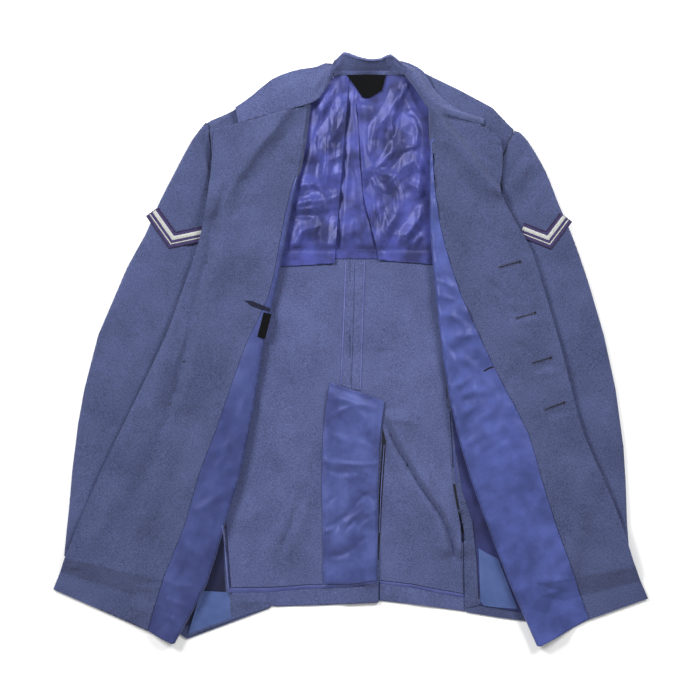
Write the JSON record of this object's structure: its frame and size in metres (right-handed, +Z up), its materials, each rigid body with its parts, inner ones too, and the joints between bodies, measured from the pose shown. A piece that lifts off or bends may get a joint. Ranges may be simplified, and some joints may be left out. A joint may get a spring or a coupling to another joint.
{
  "type": "service dress jacket",
  "caption": "Single-breasted wool uniform jacket with satin half lining, laid flat on its back with both fronts opened out.",
  "frame": {"origin": "on the surface the jacket lies on, under the middle of its outline", "axes": "+X towards the wearer's left sleeve, +Y up the back to the collar, +Z up from the surface through the inside of the jacket"},
  "size_m": [0.852, 0.848, 0.0237],
  "materials": {
    "wool_serge": "blue-grey wool serge, matt, fine twill",
    "satin_lining": "blue rayon satin, soft sheen, creased",
    "patch_twill": "dark violet embroidered twill with pale stripes",
    "label_tape": "black woven tape, bare",
    "metal_button": "plain satin-finished metal"
  },
  "bodies": {
    "root": {"back_right": "wool_serge", "back_left": "wool_serge", "side_panel_right": "wool_serge", "side_panel_left": "wool_serge", "front_right": "wool_serge", "front_left": "wool_serge", "facing_right": "wool_serge", "facing_left": "wool_serge", "top_sleeve_right": "wool_serge", "top_sleeve_left": "wool_serge", "under_sleeve_right": "wool_serge", "under_sleeve_left": "wool_serge", "collar": "wool_serge", "side_lining_right": "satin_lining", "side_lining_left": "satin_lining", "back_lining_right": "satin_lining", "back_lining_left": "satin_lining", "back_lining_pleat": "satin_lining", "front_lining_right": "satin_lining", "front_lining_left": "satin_lining", "vent_facing": "satin_lining", "pocket_welt": "satin_lining", "chevron_patch_right": "patch_twill", "chevron_patch_left": "patch_twill", "neck_label": "label_tape", "pocket_label": "label_tape", "button_1": "metal_button", "button_2": "metal_button", "button_3": "metal_button", "button_4": "metal_button"}
  },
  "joints": []
}
